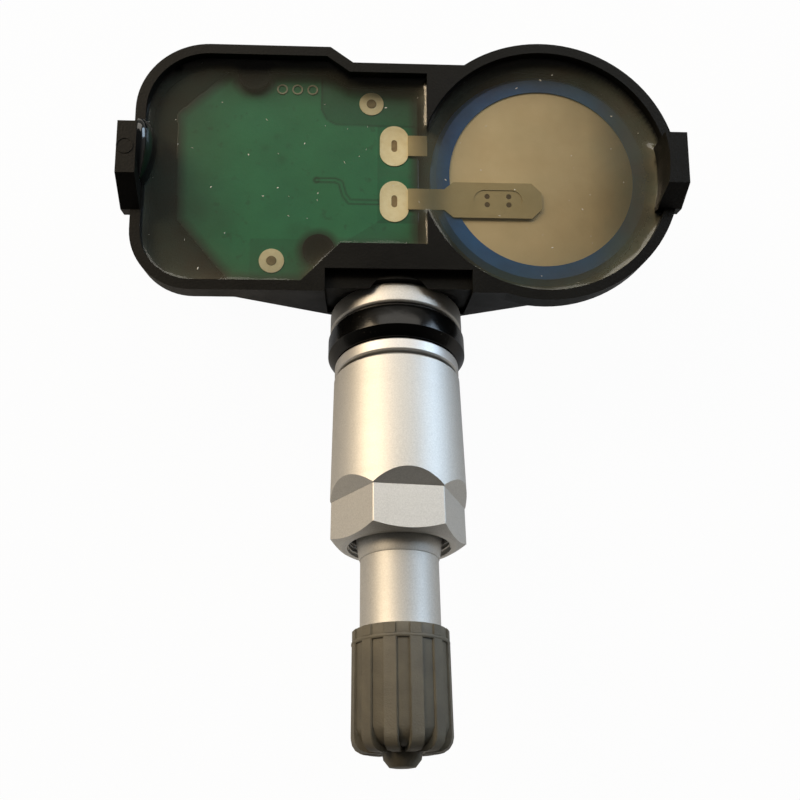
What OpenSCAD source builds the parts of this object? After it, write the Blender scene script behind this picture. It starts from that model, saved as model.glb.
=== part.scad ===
// Clamp-in tyre pressure sensor: a potted housing with board and coin cell, on a metal valve.
// X runs along the housing, Y away from the valve, Z out of the potted side. Millimetres.
// The origin is the middle of the flat back, on the valve's centre plane.

/* [Housing] */
// Depth from the flat back to the rim
body_depth = 16; // [15.5:0.5:20]
// Distance from the valve plane to the outside of the board bay's end
bay_reach = 28.3; // [26:0.1:34]
// Distance from the middle to the front wall
front_reach = 14.1; // [13.6:0.1:17]
// Distance from the middle to the board bay's far wall
far_reach = 13.8; // [13.2:0.1:17]
// Distance from the middle to the far wall at the neck
neck_reach = 12; // [11.4:0.1:12.4]
// Outer radius of the board bay's far corner
far_corner_r = 7.8; // [5:0.1:9]
// Outer radius of the board bay's near corner
near_corner_r = 6.5; // [4:0.1:8]
// Distance from the valve plane to the near side of the battery lobe
lobe_left = 1.1; // [0.6:0.1:2]
// Thickness of the rim wall
wall = 1.1; // [0.8:0.1:1.4]
// Height of the upright band below the rim
rim_h = 2.6; // [1.5:0.1:4]
// Slope of the sides below the upright band, from upright
draft = 17.5; // [4:0.5:18]
// Height of the sloped edge round the flat back
back_edge = 2; // [1:0.1:3]
// Half width of the flat part of the back
flat_half = 13; // [10:0.5:16]
// Angle at which the back rises towards both ends
back_rise = 11; // [0:1:14]
// Where the far wall starts to step in to the neck
step_x = 7.5; // [6.5:0.1:9]
// Run of the slanted step along the wall
step_run = 2.5; // [1:0.1:4]

/* [Feet at the ends] */
// Height of an end foot above the rim
foot_rise = 2.8; // [1:0.1:5]
// Length of an end foot's flat top
foot_top = 5.7; // [3:0.1:8]
// Length of the slope from the flat top down to the rim
foot_slope = 2.9; // [1:0.1:6]
// Length of that slope on the foot over the battery lobe
lobe_slope = 1.8; // [1:0.1:6]
// Thickness of an end foot
foot_t = 2; // [1.6:0.1:2.4]
// How far an end foot stands out from the wall
foot_out = 1; // [0.2:0.1:1.4]
// Height of an end foot below the rim
foot_drop = 1.5; // [0.5:0.1:2.5]

/* [Stem block] */
// Distance from the middle to the stem block's inner face
block_reach = 8.8; // [8:0.1:9.6]
// Width of the ledge over the valve
ledge_w = 15.6; // [12:0.1:20]
// Length of the ledge from the front wall
ledge_l = 2.5; // [1:0.1:4]
// How far the front wall is set back below the ledge
ledge_back = 0.6; // [0.2:0.1:0.9]
// Depth of the ledge below the rim
ledge_drop = 0.95; // [0.3:0.05:2]
// Radius of the boss round the valve flange
boss_r = 8.1; // [8:0.05:9]
// Half width of the front web at the rim
web_half = 17.5; // [12:0.5:20]

/* [Valve] */
// Tilt of the valve out of the housing's plane
stem_tilt = 17.5; // [10:0.5:22]
// Depth of the valve's axis below the rim at its flange
axis_drop = 8.35; // [8:0.05:9]
// Radius of the valve's flange
flange_r = 7.4; // [6.5:0.1:7.6]
// Thickness of the valve's flange
flange_t = 2.35; // [1.5:0.05:3]
// Diameter of the clamping thread
clamp_d = 10; // [9.6:0.1:10.4]
// Diameter of the bare shank
shank_d = 7.8; // [7.7:0.1:8.2]
// Diameter of the cap thread
mouth_d = 7.4; // [7.2:0.1:7.5]
// Length of the cap thread
mouth_l = 7; // [6.5:0.1:10]
// Length of the clamping thread beyond the flange
clamp_l = 22.4; // [20:0.1:23]
// Length of the bare shank between the clamping thread and the cap thread
shank_l = 12; // [11:0.1:16]
// Diameter of the air bore
air_d = 3.2; // [2.6:0.1:3.6]
// Length of the anchor inside the housing
anchor_l = 5.5; // [4:0.1:6]
// Diameter of the anchor inside the housing
anchor_d = 8.4; // [7:0.1:9]

/* [Grommet, washer and nut] */
// Outer radius of the rubber grommet
grommet_r = 7.9; // [7:0.05:8.2]
// Length of the grommet's wide ring
grommet_ring = 3.05; // [1.5:0.05:3.2]
// Length of the grommet from flange to washer
grommet_l = 4.1; // [3.6:0.05:5]
// Radius of the grommet's collar that fills the rim hole
collar_r = 5.7; // [5.5:0.05:6]
// Radius of the washer
washer_r = 6.95; // [6.4:0.05:7.4]
// Thickness of the washer
washer_t = 1.45; // [1:0.05:2]
// Radius of the nut's barrel
barrel_r = 7; // [6.95:0.05:7.4]
// Length of the nut
nut_l = 18.8; // [17.5:0.1:19]
// Width of the nut's hexagon across its flats
hex_af = 12; // [11:0.1:12.4]
// Length of the hexagon
hex_l = 4.5; // [3:0.1:6]
// Length of the slope that runs from the barrel down to a flat
scallop_l = 1.6; // [0.8:0.1:2.5]
// Angle at which the nut stands about its axis
hex_turn = 7; // [0:1:30]
// Radius of the countersink at the nut's outer end
nut_mouth_r = 5.2; // [5.1:0.05:5.6]

/* [Cap] */
// Radius of the cap over its ribs
cap_r = 4.65; // [4.5:0.05:5.4]
// Thickness of the cap's closed end
cap_end_t = 1.25; // [0.8:0.05:2]
// How far the cap reaches past the thread over the bare shank
cap_skirt = 1.55; // [0.8:0.05:2.5]
// Number of ribs round the cap
rib_count = 12; // [8:1:16]
// Width of the grooves between the ribs
rib_gap = 1.2; // [0.6:0.05:1.4]
// Depth of the grooves between the ribs
rib_depth = 0.28; // [0.15:0.01:0.4]
// Length of the notched collar at the cap's mouth
cap_collar = 1.25; // [0.8:0.05:2]
// Length of the nub on the cap's end
nub_l = 1.2; // [0.5:0.1:2]

/* [Potting, board and cell] */
// Depth of the potting's surface below the rim
potting_drop = 1.3; // [0.8:0.1:1.5]
// Depth of the board's top below the rim
board_drop = 2.4; // [2.3:0.1:3.2]
// Thickness of the board
board_t = 1; // [0.8:0.1:1.6]
// Distance from the valve plane to the board's end
board_end = 24; // [22.5:0.1:25]
// How far the board reaches past the valve plane towards the cell
board_past = 1.9; // [1.5:0.1:2.1]
// Distance from the middle to the board's far edge
board_far = 11.5; // [11:0.1:11.7]
// Radius of the two posts that locate the board
post_r = 1.7; // [1.2:0.1:2]
// Diameter of the coin cell
cell_d = 24.5; // [20:0.1:30]
// Height of the coin cell
cell_h = 5; // [3.2:0.1:5.4]
// How far the sleeve laps over the cell's edge
sleeve_lap = 1.95; // [1.2:0.05:3]
// Gap between the sleeve and the rim wall
cell_gap = 1.3; // [1:0.1:2]
// Depth of the cell's top below the rim
cell_drop = 2.5; // [2.3:0.1:2.9]
// Thickness of the shrink sleeve
sleeve_t = 0.15; // [0.1:0.05:0.3]
// Thickness of the tabs
tab_t = 0.15; // [0.1:0.05:0.25]
// Width of the tab that crosses to the board
tab_w = 2.4; // [2:0.1:2.6]

/* [Under the board] */
// Depth of the space under the board
bay_depth = 4.6; // [4.4:0.1:6]
// Side of the square sensor chip
chip_side = 6; // [5:0.1:7]
// Height of the sensor chip
chip_h = 2; // [1.5:0.1:2.4]
// Diameter of the pressure port in the back
port_d = 1.6; // [1:0.1:2]
// Diameter of the antenna wire
antenna_d = 1; // [0.6:0.1:1.2]

/* [Hidden] */
$fn = 96;

// Clearances: a running fit, a slack fit, a moulded-in seat and a cut that runs past a face
run_gap = 0.06;
slack = 0.2;
over = 1;
tiny = 0.02;

// Levels, measured up from the back
potting_z = body_depth - potting_drop;
board_z = body_depth - board_drop;
board_under = board_z - board_t;
cell_z = body_depth - cell_drop;
cell_under = cell_z - cell_h;
floor_z = board_under - bay_depth;
foot_z = body_depth + foot_rise;

// The battery lobe goes round the cell
lobe_r = cell_d / 2 + sleeve_t + cell_gap + wall;
lobe_x = lobe_left + lobe_r;
bare_r = cell_d / 2 - sleeve_lap;

// The sides slope in below the rim band
slope_top = body_depth - rim_h;
slope_in = (slope_top - back_edge) * tan(draft);
edge_in = slope_in + back_edge;

// The valve's axis starts at the back of its flange, on the seat of the boss
seat_y = -front_reach - 0.8;
seat_z = body_depth - axis_drop;
ring_s = flange_t + grommet_ring;
washer_s = flange_t + grommet_l;
nut_s = washer_s + washer_t + 1.5 * slack;
boss_half = flange_r - 0.1;
thread_h = 0.12;
nub_r = 1.85;
clamp_s = flange_t + clamp_l;
mouth_s = clamp_s + shank_l;
tip_s = mouth_s + mouth_l;
cap_s = mouth_s - cap_skirt;
seal_t = 0.9;
seal_s = tip_s + 0.05;
cap_inner = seal_s + seal_t + 0.05 - cap_s;
cap_l = cap_inner + cap_end_t;
bore_r = clamp_d / 2 + run_gap;

// The valve core sits in a stepped bore below the mouth
core_mouth_r = 2.65;
core_seat_r = 2.1;
core_top = tip_s - 0.7;
core_plug_l = 4.4;
core_seat_l = 2;
core_low_l = 2.4;
core_bore_r = 1.35;
pin_r = 0.55;
pin_head_r = 1.25;
pin_head_l = 0.6;
core_shelf = core_top - core_plug_l;
core_low = core_shelf - core_seat_l - core_low_l;
cup_l = 1.2;
spring_turns = 6;
spring_wire = 0.22;
spring_r = core_bore_r - spring_wire / 2 - run_gap;

// Inside outlines
well_r = lobe_r - wall;
cell_x = lobe_x + 0.1;
pocket_r = cell_d / 2 + sleeve_t + 0.1;
shelf_z = cell_z - 1.5;
bay_right = lobe_left + 2;
block_half = 6.2;
block_slant = 4.1;
foot_shift = 0.25;

// The board's cut corners, its slant beside the step, and its gap to the stem block
board_near = front_reach - 2;
board_far_cut = [5.2, 4.8];
board_near_cut = [6, 7];
board_slant = [0.8, 1.9];
board_neck = neck_reach - 2.1;
board_gap = 0.7;
antenna_drop = 3.6;
post_a = [-16, 11.3];
post_b = [-8.6, -8.9];
post_rise = 0.6;

// Parts on the underside of the board, and the bay that they hang in
under_end = board_end - 2.5;
under_near = 7.2;
under_far = 9.2;
chip_at = [-15, -2.5];
gasket_t = 0.8;
gasket_r = 1.9;
gasket_z = board_under - chip_h - gasket_t;
coil_at = [-6, 5];
coil_l = 8;
coil_core_r = 0.9;
coil_wire_t = 0.6;
coil_flange_r = 1.7;
coil_flange_t = 0.8;
crystal_at = [-19.5, 4.5];
crystal_size = [3.2, 2.5, 0.8];
capacitor_size = [1, 1.8, 0.8];
capacitor_at = [[-10, 0.5], [-8, 0.5], [-6, 0.5], [-4, 0.5], [-19.5, -1], [-19.5, -3.5]];

// Pads on the board, their centres as seen from the potted side
ring_a = [-2.95, 8.4];
ring_b = [-13.65, -10.1];
ring_r = 1.35;
ring_hole_r = antenna_d / 2 + slack / 4;
test_at = [-12.9, 9.95];
test_pitch = 1.68;
test_r = 0.6;
test_hole_r = 0.36;
pad_w = 3.2;
pad_l = 4.75;
pad_x = -0.4;
pad_a_y = 3.4;
pad_b_y = -3.1;
pad_t = 0.08;
strip_x = pad_x + pad_w / 2 - 0.1;
slot_w = 0.65;
slot_l = 1.4;

// The positive tab goes down beside the cell and some way under it
leg_x = cell_x - cell_d / 2 - sleeve_t - 0.5;
leg_foot = 8;

// The welded plate of the negative tab
plate_y = -2.85;
plate_x = lobe_left + 3.4;
plate_l = 11.4;
plate_w = 4.1;
plate_z = cell_z + sleeve_t + tiny;
weld_x = plate_x + 6.55;
weld_w = 2.9;
weld_l = 5.9;

// Puts children on the valve's axis, at a distance from the back of its flange
module on_stem(s = 0) {
    translate([0, seat_y, seat_z]) rotate([90 - stem_tilt, 0, 0]) translate([0, 0, s]) children();
}

// Half profile of a side: upright rim band, slope, sloped back edge
function side_profile(r, high) = [[0, 0], [r - edge_in, 0], [r - slope_in, back_edge],
    [r, slope_top], [r, high], [0, high]];

// The half profile, cut off at its own middle where the slopes meet there
module side_section(r, high) {
    intersection() {
        polygon(side_profile(r, high));
        square([r, high]);
    }
}

// A round corner post of the housing
module corner(at, r) {
    translate(at) rotate_extrude() side_section(r, body_depth);
}

// A straight side between two corner centres, with its outside to the right of the way from p to q
module side(p, q, r, high = body_depth) {
    run = q - p;
    translate(p) rotate([90, 0, atan2(run[1], run[0]) - 90]) mirror([0, 0, 1])
        linear_extrude(norm(run)) side_section(r, high);
}

bay_far = [-bay_reach + far_corner_r, far_reach - far_corner_r];
bay_near = [-bay_reach + near_corner_r, -front_reach + near_corner_r];
lobe_c = [lobe_x, 0];
step_a = [-step_x, far_reach];
step_b = [-step_x + step_run, neck_reach];
side_r = 7;

// Outside of the housing, still solid
module hull_form() {
    step_dir = (step_b - step_a) / norm(step_b - step_a);
    step_in = [step_dir[1], -step_dir[0]] * 2 * side_r;
    near_y = -front_reach + near_corner_r;
    far_y = far_reach - far_corner_r;
    difference() {
        union() {
            corner(bay_far, far_corner_r);
            corner(bay_near, near_corner_r);
            corner(lobe_c, lobe_r);
            side(bay_far, bay_near - [bay_near[0] - bay_far[0], 0], far_corner_r);
            side([step_a[0] - edge_in / 2, far_y], bay_far, far_corner_r);
            intersection() {
                side([step_b[0] + over, far_y], [step_a[0] - edge_in, far_y], far_corner_r);
                side(step_b + step_in + side_r * step_dir, step_a + step_in - side_r * step_dir,
                    2 * side_r, body_depth + foot_rise);
            }
            side([lobe_x, neck_reach - side_r], step_b - [edge_in / 2, side_r], side_r);
            side(bay_near, [lobe_x, near_y], near_corner_r);
            side(bay_near + [0, bay_far[1] - near_y], bay_near, near_corner_r);
            linear_extrude(body_depth) polygon([bay_far, bay_near, [lobe_x, near_y],
                [lobe_x, neck_reach - side_r], step_b - [0, side_r],
                [step_a[0], far_reach - far_corner_r]]);
        }
        for (way = [-1, 1]) translate([way * flat_half, 0, 0]) rotate([0, -way * back_rise, 0])
            translate([way > 0 ? 0 : -60, -40, -20]) cube([60, 80, 20]);
    }
}

// Web that carries the valve's boss down from the front wall
module front_web() {
    low_z = seat_z - 1;
    translate([0, -front_reach, 0]) rotate([90, 0, 0]) translate([0, 0, -front_reach + block_reach])
        linear_extrude(front_reach - block_reach)
            polygon([[-web_half, slope_top], [-boss_half, low_z], [-boss_half * 0.65, 0],
                [boss_half * 0.65, 0], [boss_half, low_z], [web_half, slope_top]]);
}

// A foot at one end, standing on the rim
module foot(way, outer, thick, slope) {
    top_y = foot_top / 2;
    translate([way > 0 ? outer - thick : -outer, foot_shift, 0])
        rotate([90, 0, 90]) linear_extrude(thick)
            polygon([[-top_y - slope, body_depth - foot_drop], [top_y, body_depth - foot_drop],
                [top_y, foot_z], [-top_y, foot_z], [-top_y - slope, body_depth]]);
}

// The foot over the battery lobe, hollowed to follow the well
module lobe_foot() {
    difference() {
        foot(1, lobe_x + lobe_r, 1.3 * foot_t, lobe_slope);
        translate([lobe_x, 0, 0]) cylinder(r = well_r - foot_t / 2 + 0.1, h = foot_z + over);
    }
}

// Open well for the board, down to a level
module board_well(level) {
    translate([0, 0, level]) linear_extrude(body_depth - level + over) {
        in_far = far_corner_r - wall;
        in_near = near_corner_r - wall;
        polygon([[-bay_reach + wall, bay_near[1]], [-bay_reach + wall, bay_far[1]], bay_far,
            [bay_far[0], far_reach - wall], step_a + [-wall / 3, -wall], step_b + [-wall / 3, -wall],
            [bay_right, neck_reach - wall], [bay_right, -block_reach], [-block_half, -block_reach],
            [-block_half - block_slant, -front_reach + wall], [bay_near[0], -front_reach + wall], bay_near]);
        translate(bay_far) circle(in_far);
        translate(bay_near) circle(in_near);
    }
}

// Open well for the cell: a wide mouth over a pocket that fits the cell
module cell_well() {
    translate([lobe_x, 0, shelf_z]) cylinder(r = well_r, h = body_depth - shelf_z + over);
    translate([cell_x, 0, cell_under]) cylinder(r = pocket_r, h = body_depth - cell_under);
}

// Groove that the positive tab runs down in, and its recess under the cell
module tab_groove() {
    gap = 0.1;
    wide = tab_w + 2 * gap;
    translate([leg_x - gap, pad_a_y - wide / 2, cell_under - tab_t]) {
        cube([leg_foot + gap, wide, tab_t + over]);
        cube([2, wide, body_depth]);
    }
}

// Channel that the antenna wire lies in
module antenna_room() {
    run = ring_b - ring_a;
    half = antenna_d / 2 + slack;
    translate([ring_a[0], ring_a[1], board_under - antenna_drop - half]) rotate(atan2(run[1], run[0]))
        translate([-half, -half, 0]) cube([norm(run) + 2 * half, 2 * half, antenna_drop + half + over]);
}

// Moulded housing with its wells, posts, ledge, boss and feet
module housing() {
    color("#1c1c1e") {
        difference() {
            union() {
                difference() {
                    hull_form();
                    translate([-ledge_w / 2, -front_reach - 5, body_depth - ledge_drop])
                        cube([ledge_w, 5 + ledge_l, foot_rise]);
                }
                intersection() {
                    union() {
                        intersection() {
                            on_stem(-anchor_l - 2) cylinder(r = boss_r, h = anchor_l + 2);
                            translate([-boss_half, -40, -40]) cube([2 * boss_half, 80, 80]);
                        }
                        front_web();
                    }
                    translate([-40, -40, 0]) cube([80, 80, body_depth]);
                }
            }
            board_well(board_under);
            cell_well();
            tab_groove();
            antenna_room();
            component_bay();
            on_stem(-anchor_l) cylinder(d = anchor_d, h = anchor_l + over);
            on_stem() cylinder(r = boss_r, h = washer_s);
            translate([-ledge_w / 2, -front_reach - 5, seat_z])
                cube([ledge_w, 5 + ledge_back, body_depth]);
            stem_vent();
            translate([chip_at[0], chip_at[1], -over]) cylinder(d = port_d, h = body_depth);
        }
        foot(-1, bay_reach + foot_out, foot_t, foot_slope);
        lobe_foot();
        difference() {
            union() {
                for (p = [post_a, post_b]) translate([p[0], p[1], board_under - tiny])
                    cylinder(r = post_r, h = board_t + post_rise);
                translate([chip_at[0], chip_at[1], floor_z - tiny])
                    cylinder(r = gasket_r, h = gasket_z - floor_z);
            }
            translate([chip_at[0], chip_at[1], -over]) cylinder(d = port_d, h = body_depth);
        }
    }
}

// Space under the board for its parts
module component_bay() {
    translate([-under_end, -under_near, floor_z])
        cube([under_end + board_past - over, under_near + under_far, bay_depth + over]);
}

// Air outlet from the anchor's end down to the back
module stem_vent() {
    on_stem(-anchor_l) translate([0, 0, -2]) cylinder(d = air_d, h = 2 + over);
    end_y = seat_y + (anchor_l + 1) * cos(stem_tilt);
    translate([0, end_y, -over])
        cylinder(d = air_d + 2 * slack, h = seat_z - anchor_l * sin(stem_tilt) + over);
}

// Outline of the board with its cut corners and post notches
module board_outline() {
    difference() {
        polygon([[-board_end, board_far - board_far_cut[1]], [-board_end + board_far_cut[0], board_far],
            [-step_x - board_slant[0], board_far], [-step_x + board_slant[1], board_neck],
            [board_past, board_neck], [board_past, -block_reach + board_gap],
            [-block_half, -block_reach + board_gap], [-block_half - block_slant, -board_near],
            [-board_end + board_near_cut[0], -board_near],
            [-board_end, -board_near + board_near_cut[1]]]);
        for (p = [post_a, post_b]) translate(p) circle(post_r + slack);
    }
}

module circuit_board() {
    color("#2f6b4a") translate([0, 0, board_under]) difference() {
        linear_extrude(board_t) board_outline();
        for (p = [ring_a, ring_b]) translate([p[0], p[1], -over])
            cylinder(r = ring_hole_r, h = board_t + 2 * over);
        for (y = [pad_a_y, pad_b_y]) translate([pad_x, y, -over]) linear_extrude(board_t + 2 * over)
            slot_shape();
    }
}

// Slot through a pad, rounded at both ends
module slot_shape() {
    square([slot_w, slot_l - slot_w], center = true);
    for (way = [-1, 1]) translate([0, way * (slot_l - slot_w) / 2]) circle(slot_w / 2);
}

// Tinned pads on the board's top
module solder_pads() {
    color("#c9c3b0") translate([0, 0, board_z]) {
        for (p = [ring_a, ring_b]) translate(p) linear_extrude(pad_t) difference() {
            circle(ring_r);
            circle(ring_hole_r);
        }
        for (i = [0:2]) translate(test_at + [i * test_pitch, 0]) linear_extrude(pad_t) difference() {
            circle(test_r);
            circle(test_hole_r);
        }
        for (y = [pad_a_y, pad_b_y]) translate([pad_x, y]) linear_extrude(pad_t) difference() {
            union() {
                square([pad_w, pad_l - pad_w], center = true);
                for (way = [-1, 1]) translate([0, way * (pad_l - pad_w) / 2]) circle(pad_w / 2);
            }
            slot_shape();
        }
    }
}

module battery_cell() {
    color("#b8aa8e") translate([cell_x, 0, cell_under + sleeve_t]) rotate_extrude()
        polygon([[0, 0], [cell_d / 2 - 1, 0], [cell_d / 2, 1], [cell_d / 2, cell_h - sleeve_t - 0.5],
            [cell_d / 2 - 0.5, cell_h - sleeve_t], [0, cell_h - sleeve_t]]);
}

// Blue sleeve shrunk round the cell and over its edges
module battery_sleeve() {
    out = cell_d / 2 + sleeve_t;
    color("#3d6f9e") translate([cell_x, 0, cell_under]) rotate_extrude()
        polygon([[bare_r, 0], [cell_d / 2 - 0.95, 0], [out, 1], [out, cell_h - 0.45],
            [cell_d / 2 - 0.45, cell_h + sleeve_t], [bare_r, cell_h + sleeve_t],
            [bare_r, cell_h], [cell_d / 2 - 0.5, cell_h], [cell_d / 2, cell_h - 0.5],
            [cell_d / 2, 1 + sleeve_t], [cell_d / 2 - 1, sleeve_t], [bare_r, sleeve_t]]);
}

// Welded plate on the cell, with a pressed-in weld pad and a strip across to pad B
module negative_tab() {
    color("#b9b3a2") {
        translate([0, plate_y, plate_z]) difference() {
            union() {
                linear_extrude(tab_t) polygon([[plate_x, -tab_w / 2], [plate_x + 0.6, -tab_w / 2],
                    [plate_x + 1.6, -plate_w / 2], [plate_x + plate_l - 1.1, -plate_w / 2],
                    [plate_x + plate_l, -plate_w / 2 + 1.1], [plate_x + plate_l, plate_w / 2 - 1.1],
                    [plate_x + plate_l - 1.1, plate_w / 2], [plate_x + 1.6, plate_w / 2],
                    [plate_x + 0.6, tab_w / 2], [plate_x, tab_w / 2]]);
                translate([0, 0, cell_z - plate_z]) linear_extrude(plate_z - cell_z + tab_t / 2)
                    weld_shape(weld_l, weld_w);
            }
            translate([0, 0, tab_t / 2]) linear_extrude(tab_t) weld_shape(weld_l - 0.5, weld_w - 0.5);
            for (x = [-1.2, 1.2], y = [-0.48, 0.48]) translate([weld_x + x, y, 0])
                cylinder(r = 0.3, h = tab_t);
        }
        strip();
    }
}

// Long round-ended shape of the pressed-in weld pad
module weld_shape(l, w) {
    translate([weld_x, 0]) square([l - w, w], center = true);
    for (way = [-1, 1]) translate([weld_x + way * (l - w) / 2, 0]) circle(w / 2);
}

// Strip from the plate over the potted gap to pad B
module strip() {
    low = board_z + pad_t;
    translate([0, plate_y, 0]) rotate([90, 0, 0]) linear_extrude(tab_w, center = true)
        polygon([[plate_x + tiny, plate_z], [plate_x + tiny, plate_z + tab_t],
            [plate_x - 0.7, plate_z + tab_t], [board_past + 0.4, low + tab_t], [strip_x, low + tab_t],
            [strip_x, low], [board_past + 0.45, low], [plate_x - 0.65, plate_z]]);
}

// Strip from pad A down beside the cell and under it
module positive_tab() {
    low = cell_under - tab_t;
    top = board_z + pad_t;
    color("#b9b3a2") translate([0, pad_a_y, 0]) rotate([90, 0, 0]) linear_extrude(tab_w, center = true)
        polygon([[strip_x, top], [leg_x, top], [leg_x, low], [leg_x + leg_foot - 0.2, low],
            [leg_x + leg_foot - 0.2, low + tab_t], [leg_x + tab_t, low + tab_t],
            [leg_x + tab_t, top + tab_t], [strip_x, top + tab_t]]);
}

// Clear compound that fills both wells up to its level
module potting() {
    color("#5a5c50", 0.35) difference() {
        intersection() {
            union() {
                board_well(board_under);
                cell_well();
            }
            cube([200, 200, 2 * potting_z], center = true);
        }
        lobe_foot();
        translate([0, 0, board_under - over]) linear_extrude(over + board_t) board_outline();
        hull_of_pads();
        translate([cell_x, 0, cell_under - over])
            cylinder(d = cell_d + 2 * sleeve_t, h = cell_h + sleeve_t + over);
        for (p = [post_a, post_b]) translate([p[0], p[1], board_under - over])
            cylinder(r = post_r, h = board_t + post_rise + over);
        component_bay();
        antenna_room();
        tab_room();
    }
}

// Room that the potting leaves for the pads, a touch over their height
module hull_of_pads() {
    translate([0, 0, board_z - tiny]) {
        for (p = [ring_a, ring_b]) translate(p) cylinder(r = ring_r, h = pad_t + tiny);
        for (i = [0:2]) translate(test_at + [i * test_pitch, 0]) cylinder(r = test_r, h = pad_t + tiny);
        for (y = [pad_a_y, pad_b_y]) translate([pad_x, y]) {
            translate([-pad_w / 2, -(pad_l - pad_w) / 2]) cube([pad_w, pad_l - pad_w, pad_t + tiny]);
            for (way = [-1, 1]) translate([0, way * (pad_l - pad_w) / 2])
                cylinder(r = pad_w / 2, h = pad_t + tiny);
        }
    }
}

// Room that the potting leaves for the two tabs
module tab_room() {
    half = tab_w / 2;
    low = board_z + pad_t;
    high = plate_z + tab_t;
    translate([strip_x, plate_y - half, board_z])
        cube([board_past + 0.5 - strip_x, tab_w, low + tab_t - board_z]);
    translate([board_past + 0.4, plate_y - half, min(low, plate_z)])
        cube([plate_x - board_past, tab_w, max(low + tab_t, high) - min(low, plate_z)]);
    translate([plate_x, plate_y - plate_w / 2, cell_z]) cube([plate_l, plate_w, high - cell_z]);
    translate([strip_x, pad_a_y - half, board_z]) cube([leg_x - strip_x, tab_w, low + tab_t - board_z]);
    translate([leg_x, pad_a_y - half, 0]) cube([tab_t, tab_w, low + tab_t]);
    translate([leg_x, pad_a_y - half, 0]) cube([leg_foot, tab_w, cell_under]);
}

// Chips and parts on the underside of the board
module sensor_chip() {
    color("#2b2b2d") translate([chip_at[0], chip_at[1], board_under - chip_h]) difference() {
        translate([-chip_side / 2, -chip_side / 2, 0]) cube([chip_side, chip_side, chip_h]);
        translate([0, 0, -over]) cylinder(d = port_d / 2, h = over + chip_h / 2);
    }
}

module port_gasket() {
    color("#4a4a4c") translate([chip_at[0], chip_at[1], gasket_z]) difference() {
        cylinder(r = gasket_r, h = gasket_t);
        translate([0, 0, -over]) cylinder(d = port_d, h = gasket_t + 2 * over);
    }
}

module coil_core() {
    color("#3a3632") translate([coil_at[0], coil_at[1], board_under - coil_flange_r]) rotate([0, 90, 0]) {
        translate([0, 0, -coil_l / 2]) cylinder(r = coil_core_r, h = coil_l);
        for (z = [-coil_l / 2, coil_l / 2 - coil_flange_t]) translate([0, 0, z])
            cylinder(r = coil_flange_r, h = coil_flange_t);
    }
}

module coil_winding() {
    color("#a5622f") translate([coil_at[0], coil_at[1], board_under - coil_flange_r]) rotate([0, 90, 0])
        difference() {
            cylinder(r = coil_core_r + coil_wire_t, h = coil_l - 2 * coil_flange_t, center = true);
            cylinder(r = coil_core_r, h = coil_l, center = true);
        }
}

module crystal() {
    color("#c8c8c6") hang(crystal_at, crystal_size);
}

module capacitors() {
    color("#b59a78") for (at = capacitor_at) hang(at, capacitor_size);
}

// A block that hangs under the board, centred on a place
module hang(at, size) {
    translate([at[0] - size[0] / 2, at[1] - size[1] / 2, board_under - size[2]]) cube(size);
}

// Antenna: a leg under each ring pad and a run between them
module antenna_wire() {
    low = board_under - antenna_drop;
    run = ring_b - ring_a;
    half = antenna_d / 2;
    color("#b98a4a") {
        for (p = [ring_a, ring_b]) translate([p[0], p[1], low - half])
            cylinder(r = half, h = half + antenna_drop + board_t + pad_t);
        translate([ring_a[0], ring_a[1], low]) rotate([0, 90, atan2(run[1], run[0])])
            cylinder(r = half * 0.9, h = norm(run));
    }
}

module valve_stem() {
    groove = 0.7;
    ar = anchor_d / 2;
    color("#cfd0d2") on_stem() difference() {
        rotate_extrude() polygon([[0, -anchor_l], [ar - 0.3, -anchor_l], [ar, -anchor_l + 0.3],
            [ar, -3.4], [ar - groove, -3.4], [ar - groove, -1.6], [ar, -1.6], [ar, 0],
            [flange_r, 0], [flange_r, flange_t - 0.2], [flange_r - 0.2, flange_t],
            [clamp_d / 2, flange_t], [clamp_d / 2, clamp_s - 0.6], [clamp_d / 2 - 0.6, clamp_s],
            [4.15, clamp_s], [4.15, clamp_s + 1.2], [shank_d / 2, clamp_s + 2.2],
            [shank_d / 2, mouth_s - 0.2], [mouth_d / 2, mouth_s], [mouth_d / 2, tip_s - 0.5],
            [mouth_d / 2 - 0.5, tip_s], [0, tip_s]]);
        translate([0, 0, -anchor_l - over]) cylinder(d = air_d, h = tip_s + anchor_l + 2 * over);
        translate([0, 0, core_low]) cylinder(r = core_seat_r, h = tip_s);
        translate([0, 0, core_shelf]) cylinder(r = core_mouth_r, h = tip_s);
    }
}

module grommet() {
    lip = washer_s - ring_s;
    color("#141416") on_stem() rotate_extrude() polygon([[clamp_d / 2 + tiny, flange_t],
        [flange_r, flange_t], [grommet_r - 0.25, flange_t + 0.3], [grommet_r, flange_t + 0.9],
        [grommet_r, ring_s - 0.1], [grommet_r - 0.1, ring_s], [grommet_r - 0.4, ring_s + 0.45 * lip],
        [washer_r + 0.1, ring_s + 0.85 * lip], [collar_r, ring_s + 0.85 * lip], [collar_r, washer_s],
        [clamp_d / 2 + tiny, washer_s]]);
}

module washer() {
    color("#d4d5d6") on_stem(washer_s) rotate_extrude() polygon([[bore_r, 0], [washer_r - 0.15, 0],
        [washer_r, 0.15], [washer_r, washer_t - 0.15], [washer_r - 0.15, washer_t], [bore_r, washer_t]]);
}

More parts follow.
